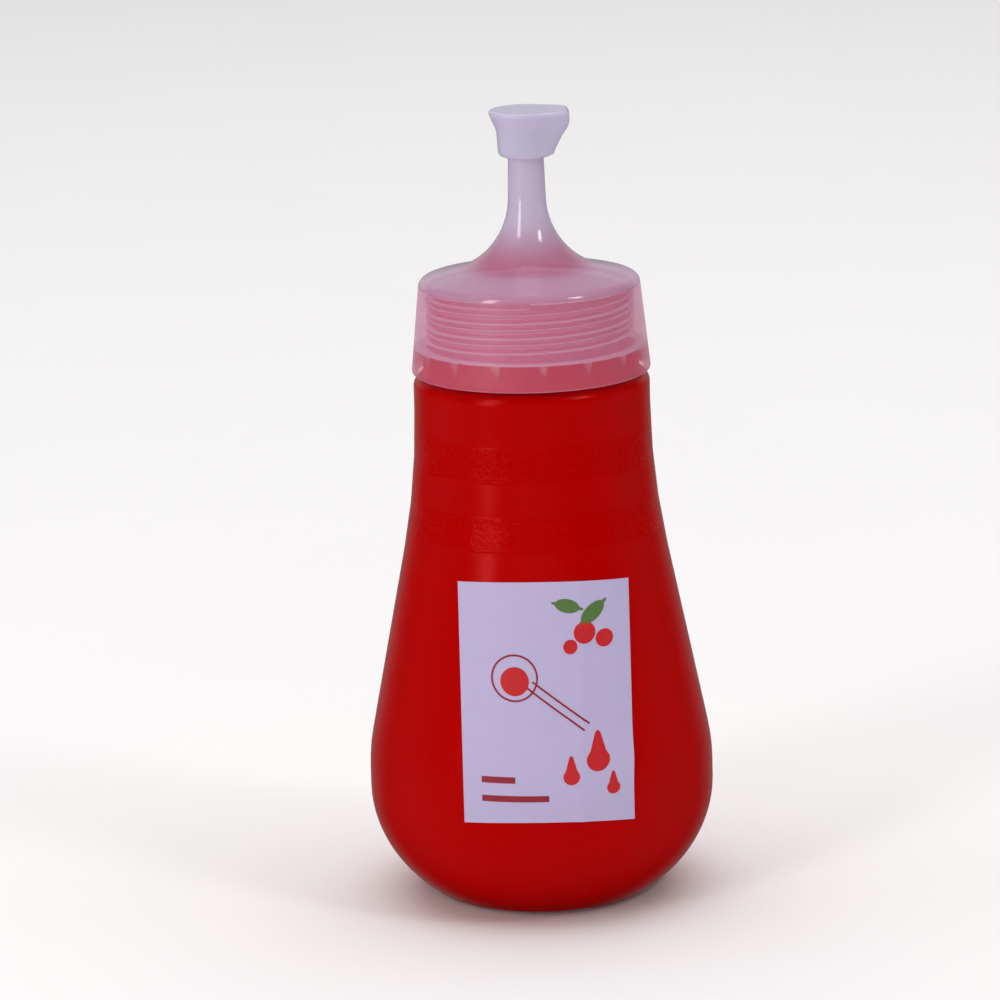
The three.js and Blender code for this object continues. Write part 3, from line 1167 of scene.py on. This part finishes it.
class SAUCE_OT_stage(bpy.types.Operator):
    """Set up the pale floor, the soft lights and the camera"""

    bl_idname = "sauce.stage"
    bl_label = "Stage"

    def execute(self, context):
        settings = context.scene.sauce_stage
        deselect_all()
        bpy.ops.mesh.primitive_plane_add(size=FLOOR_SIZE, location=(0, 0, -FLOOR_DROP))
        floor = named("studio_floor")
        floor.data.materials.append(studio_paper(settings.floor))
        floor.visible_glossy = False
        world = bpy.data.worlds.new("grey_room")
        world.use_nodes = True
        # The room is dark round the camera and pale behind the bottle, more so higher up.
        tree = world.node_tree
        sight = add_node(tree, "ShaderNodeTexCoord", {}).outputs["Generated"]
        across = add_node(tree, "ShaderNodeSeparateXYZ", {"Vector": sight}).outputs
        pale = mapped(tree, across["Y"], 0.55, 1.0, 0.0, settings.world_strength, "SMOOTHSTEP")
        rise = mapped(tree, across["Z"], -0.1, 0.15, 1.0, 2.2)
        glow = combined(tree, "MULTIPLY", pale, rise)
        set_inputs(tree, tree.nodes["Background"], {"Color": (1, 1, 1, 1), "Strength": glow})
        context.scene.world = world
        for name, where, size, watts in LIGHTS:
            self.light(name, where, size, getattr(settings, watts))
        self.camera(context, settings)
        context.scene.view_settings.view_transform = "Standard"
        return {"FINISHED"}

    @staticmethod
    def light(name, where, size, watts):
        """A soft rectangular light at (angle right of the camera, distance, height)."""
        turn, far, height = where
        place = Vector(
            (far * math.sin(math.radians(turn)), -far * math.cos(math.radians(turn)), height)
        )
        bpy.ops.object.light_add(type="AREA", location=place)
        lamp = bpy.context.object
        lamp.name = name
        lamp.data.shape = "RECTANGLE"
        lamp.data.size, lamp.data.size_y = size
        lamp.data.energy = watts
        lamp.visible_camera = False
        lamp.visible_glossy = name not in PLAIN_LIGHTS
        aim = Vector((place.x, place.y, 0)) if "overhead" in name else LIGHT_AIM
        lamp.rotation_euler = (aim - place).to_track_quat("-Z", "Y").to_euler()

    @staticmethod
    def camera(context, settings):
        """The camera of the photograph, tipped down and rolled a little."""
        forward = Vector((0, math.cos(CAMERA_TIP), -math.sin(CAMERA_TIP)))
        level = Vector((1, 0, 0))
        up = level.cross(forward)
        right = math.cos(CAMERA_ROLL) * level + math.sin(CAMERA_ROLL) * up
        up = math.cos(CAMERA_ROLL) * up - math.sin(CAMERA_ROLL) * level
        turn = Matrix((right, up, -forward)).transposed()
        bpy.ops.object.camera_add(location=CAMERA_PLACE, rotation=turn.to_euler())
        camera = bpy.context.object
        camera.data.lens = settings.lens
        camera.data.sensor_width = SENSOR_WIDTH
        camera.data.sensor_fit = "HORIZONTAL"
        camera.data.clip_start = CLIP_START
        context.scene.camera = camera


class SAUCE_PT_panel(bpy.types.Panel):
    """Lists the operators that build the bottle"""

    bl_idname = "SAUCE_PT_panel"
    bl_label = "Sauce bottle"
    bl_space_type = "VIEW_3D"
    bl_region_type = "UI"
    bl_category = "Sauce bottle"

    def draw(self, context):
        for operator in OPERATORS:
            self.layout.operator(operator.bl_idname)


OPERATORS = (
    SAUCE_OT_bottle,
    SAUCE_OT_nozzle_cap,
    SAUCE_OT_tip_cap,
    SAUCE_OT_label,
    SAUCE_OT_label_print,
    SAUCE_OT_stage,
)
SETTINGS = {
    "sauce_bottle": SauceBottleSizes,
    "sauce_cap": SauceCapSizes,
    "sauce_tip": SauceTipSizes,
    "sauce_label": SauceLabelSizes,
    "sauce_stage": SauceStageSettings,
}


def register():
    for group in SETTINGS.values():
        bpy.utils.register_class(group)
    for operator in OPERATORS:
        bpy.utils.register_class(operator)
    bpy.utils.register_class(SAUCE_PT_panel)
    for name, group in SETTINGS.items():
        setattr(bpy.types.Scene, name, PointerProperty(type=group))


def unregister():
    for name in SETTINGS:
        delattr(bpy.types.Scene, name)
    bpy.utils.unregister_class(SAUCE_PT_panel)
    for operator in reversed(OPERATORS):
        bpy.utils.unregister_class(operator)
    for group in SETTINGS.values():
        bpy.utils.unregister_class(group)


def main():
    register()
    bpy.ops.sauce.bottle()
    bpy.ops.sauce.nozzle_cap()
    bpy.ops.sauce.tip_cap()
    bpy.ops.sauce.label()
    bpy.ops.sauce.label_print()
    bpy.ops.sauce.stage()


if __name__ == "__main__":
    main()
